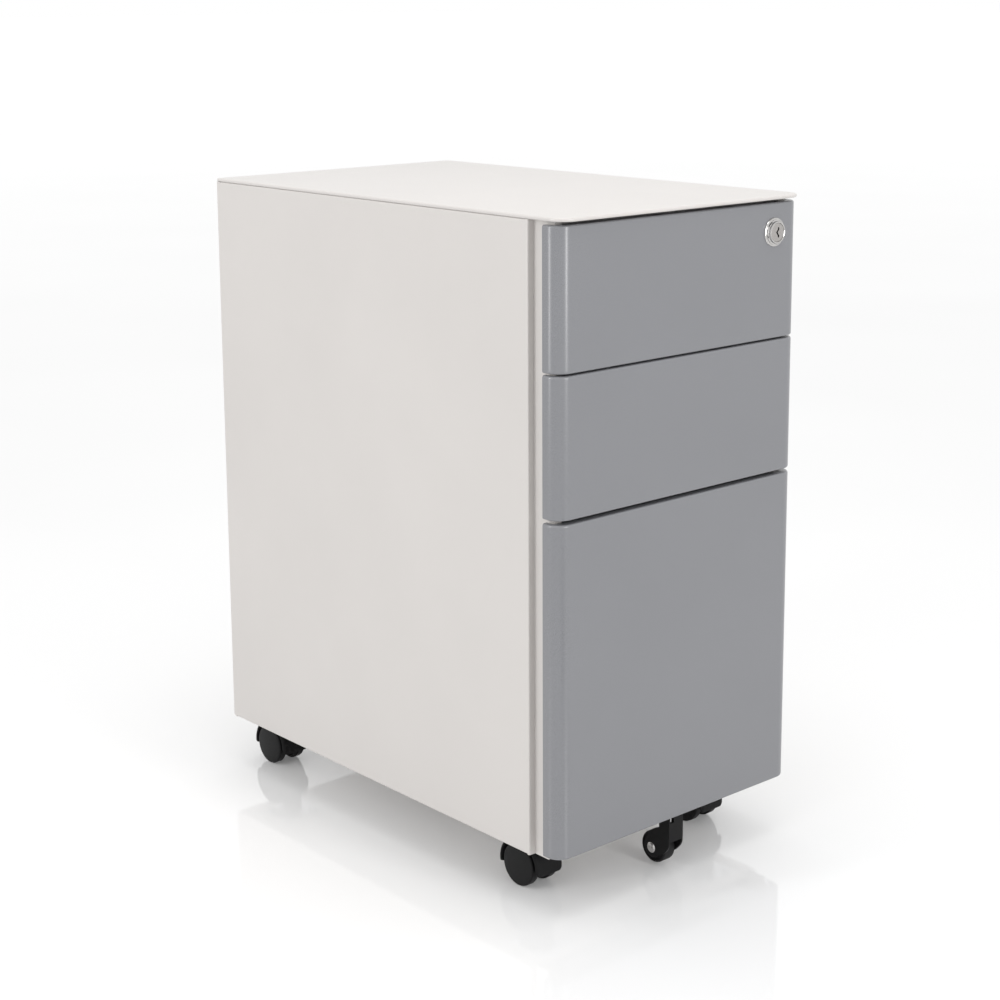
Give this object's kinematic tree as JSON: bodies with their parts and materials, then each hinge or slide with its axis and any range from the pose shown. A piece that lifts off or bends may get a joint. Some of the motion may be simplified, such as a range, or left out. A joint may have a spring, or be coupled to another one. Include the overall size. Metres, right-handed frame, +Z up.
{
  "type": "metal filing cabinet",
  "caption": "Slim mobile steel drawer pedestal: shallow drawers over a filing drawer, with a central lock, swivel castors and an anti-tilt wheel.",
  "frame": {"origin": "on the floor, below the middle of the cabinet's box", "axes": "+Z up, -Y the front where the drawers open, +X to the right seen from the front"},
  "size_m": [0.3, 0.5046, 0.6164],
  "materials": {
    "carcass_paint": "light warm grey powder coat, fine satin texture",
    "front_paint": "mid grey powder coat, fine satin texture",
    "tray_paint": "grey powder coat",
    "zinc_steel": "bright zinc-plated steel",
    "chrome": "polished chrome plate",
    "black_moulding": "black moulded nylon, satin",
    "black_wheel": "black moulded nylon, soft sheen"
  },
  "bodies": {
    "carcass": {"side_panel_left": "carcass_paint", "side_panel_right": "carcass_paint", "back_panel": "carcass_paint", "top_panel": "carcass_paint", "base_pan": "carcass_paint", "top_rail": "carcass_paint", "rear_upright_left": "carcass_paint", "rear_upright_right": "carcass_paint", "cabinet_slide_1_left": "zinc_steel", "cabinet_slide_1_right": "zinc_steel", "cabinet_slide_2_left": "zinc_steel", "cabinet_slide_2_right": "zinc_steel", "cabinet_slide_3_left": "zinc_steel", "cabinet_slide_3_right": "zinc_steel", "castor_plates": "zinc_steel", "castor_screws": "zinc_steel", "lock_bar_guides": "zinc_steel"},
    "lock_bar": {"lock_bar": "zinc_steel"},
    "drawer_1": {"front_1": "front_paint", "liner_1": "front_paint", "tray_1": "tray_paint", "drawer_slide_1_left": "zinc_steel", "drawer_slide_1_right": "zinc_steel", "lock_housing": "chrome", "lock_nut": "zinc_steel"},
    "lock_core": {"lock_plug": "chrome", "lock_cam": "zinc_steel"},
    "drawer_2": {"front_2": "front_paint", "liner_2": "front_paint", "tray_2": "tray_paint", "drawer_slide_2_left": "zinc_steel", "drawer_slide_2_right": "zinc_steel"},
    "drawer_3": {"front_3": "front_paint", "liner_3": "front_paint", "tray_3": "tray_paint", "drawer_slide_3_left": "zinc_steel", "drawer_slide_3_right": "zinc_steel", "file_rails": "zinc_steel", "fifth_wheel_bracket": "black_moulding", "fifth_wheel_axle": "zinc_steel", "fifth_wheel_cap": "chrome"},
    "middle_slides": {"middle_slide_left": "zinc_steel", "middle_slide_right": "zinc_steel"},
    "fifth_wheel": {"fifth_wheel": "black_wheel"},
    "castor_front_left": {"castor_front_left_hood": "black_moulding", "castor_front_left_axle": "zinc_steel"},
    "castor_front_left_wheel_left": {"castor_front_left_wheel_left": "black_wheel"},
    "castor_front_left_wheel_right": {"castor_front_left_wheel_right": "black_wheel"},
    "castor_front_right": {"castor_front_right_hood": "black_moulding", "castor_front_right_axle": "zinc_steel"},
    "castor_front_right_wheel_left": {"castor_front_right_wheel_left": "black_wheel"},
    "castor_front_right_wheel_right": {"castor_front_right_wheel_right": "black_wheel"},
    "castor_back_left": {"castor_back_left_hood": "black_moulding", "castor_back_left_axle": "zinc_steel"},
    "castor_back_left_wheel_left": {"castor_back_left_wheel_left": "black_wheel"},
    "castor_back_left_wheel_right": {"castor_back_left_wheel_right": "black_wheel"},
    "castor_back_right": {"castor_back_right_hood": "black_moulding", "castor_back_right_axle": "zinc_steel"},
    "castor_back_right_wheel_left": {"castor_back_right_wheel_left": "black_wheel"},
    "castor_back_right_wheel_right": {"castor_back_right_wheel_right": "black_wheel"}
  },
  "joints": [
    {"name": "drawer_1_slide", "type": "slide", "parent": "carcass", "child": "drawer_1", "axis": [0, -1, 0], "range_m": [0, 0.34]},
    {"name": "drawer_2_slide", "type": "slide", "parent": "carcass", "child": "drawer_2", "axis": [0, -1, 0], "range_m": [0, 0.34]},
    {"name": "drawer_3_slide", "type": "slide", "parent": "carcass", "child": "drawer_3", "axis": [0, -1, 0], "range_m": [0, 0.44]},
    {"name": "middle_slides_slide", "type": "slide", "parent": "carcass", "child": "middle_slides", "axis": [0, -1, 0], "range_m": [0, 0.22]},
    {"name": "lock_turn", "type": "hinge", "parent": "drawer_1", "child": "lock_core", "pos_m": [0.1148, -0.2477, 0.5835], "axis": [0, 1, 0], "range_deg": [0, 90]},
    {"name": "lock_bar_lift", "type": "slide", "parent": "carcass", "child": "lock_bar", "axis": [0, 0, 1], "range_m": [0, 0.012]},
    {"name": "fifth_wheel_spin", "type": "hinge", "parent": "drawer_3", "child": "fifth_wheel", "pos_m": [0.0061, -0.2163, 0.018], "axis": [1, 0, 0], "continuous": true},
    {"name": "castor_front_left_swivel", "type": "hinge", "parent": "carcass", "child": "castor_front_left", "pos_m": [-0.107, -0.1807, 0.043], "axis": [0, 0, 1], "continuous": true},
    {"name": "castor_front_left_wheel_left_spin", "type": "hinge", "parent": "castor_front_left", "child": "castor_front_left_wheel_left", "pos_m": [-0.107, -0.1647, 0.02], "axis": [1, 0, 0], "continuous": true},
    {"name": "castor_front_left_wheel_right_spin", "type": "hinge", "parent": "castor_front_left", "child": "castor_front_left_wheel_right", "pos_m": [-0.107, -0.1647, 0.02], "axis": [1, 0, 0], "continuous": true},
    {"name": "castor_front_right_swivel", "type": "hinge", "parent": "carcass", "child": "castor_front_right", "pos_m": [0.107, -0.1807, 0.043], "axis": [0, 0, 1], "continuous": true},
    {"name": "castor_front_right_wheel_left_spin", "type": "hinge", "parent": "castor_front_right", "child": "castor_front_right_wheel_left", "pos_m": [0.107, -0.1647, 0.02], "axis": [1, 0, 0], "continuous": true},
    {"name": "castor_front_right_wheel_right_spin", "type": "hinge", "parent": "castor_front_right", "child": "castor_front_right_wheel_right", "pos_m": [0.107, -0.1647, 0.02], "axis": [1, 0, 0], "continuous": true},
    {"name": "castor_back_left_swivel", "type": "hinge", "parent": "carcass", "child": "castor_back_left", "pos_m": [-0.107, 0.2123, 0.043], "axis": [0, 0, 1], "continuous": true},
    {"name": "castor_back_left_wheel_left_spin", "type": "hinge", "parent": "castor_back_left", "child": "castor_back_left_wheel_left", "pos_m": [-0.107, 0.2283, 0.02], "axis": [1, 0, 0], "continuous": true},
    {"name": "castor_back_left_wheel_right_spin", "type": "hinge", "parent": "castor_back_left", "child": "castor_back_left_wheel_right", "pos_m": [-0.107, 0.2283, 0.02], "axis": [1, 0, 0], "continuous": true},
    {"name": "castor_back_right_swivel", "type": "hinge", "parent": "carcass", "child": "castor_back_right", "pos_m": [0.107, 0.2123, 0.043], "axis": [0, 0, 1], "continuous": true},
    {"name": "castor_back_right_wheel_left_spin", "type": "hinge", "parent": "castor_back_right", "child": "castor_back_right_wheel_left", "pos_m": [0.107, 0.2283, 0.02], "axis": [1, 0, 0], "continuous": true},
    {"name": "castor_back_right_wheel_right_spin", "type": "hinge", "parent": "castor_back_right", "child": "castor_back_right_wheel_right", "pos_m": [0.107, 0.2283, 0.02], "axis": [1, 0, 0], "continuous": true}
  ],
  "couplings": [
    {"joint": "middle_slides_slide", "follows": "drawer_3_slide", "ratio": 0.5},
    {"joint": "lock_turn", "follows": "lock_bar_lift", "rad_per_m": 130.8}
  ]
}
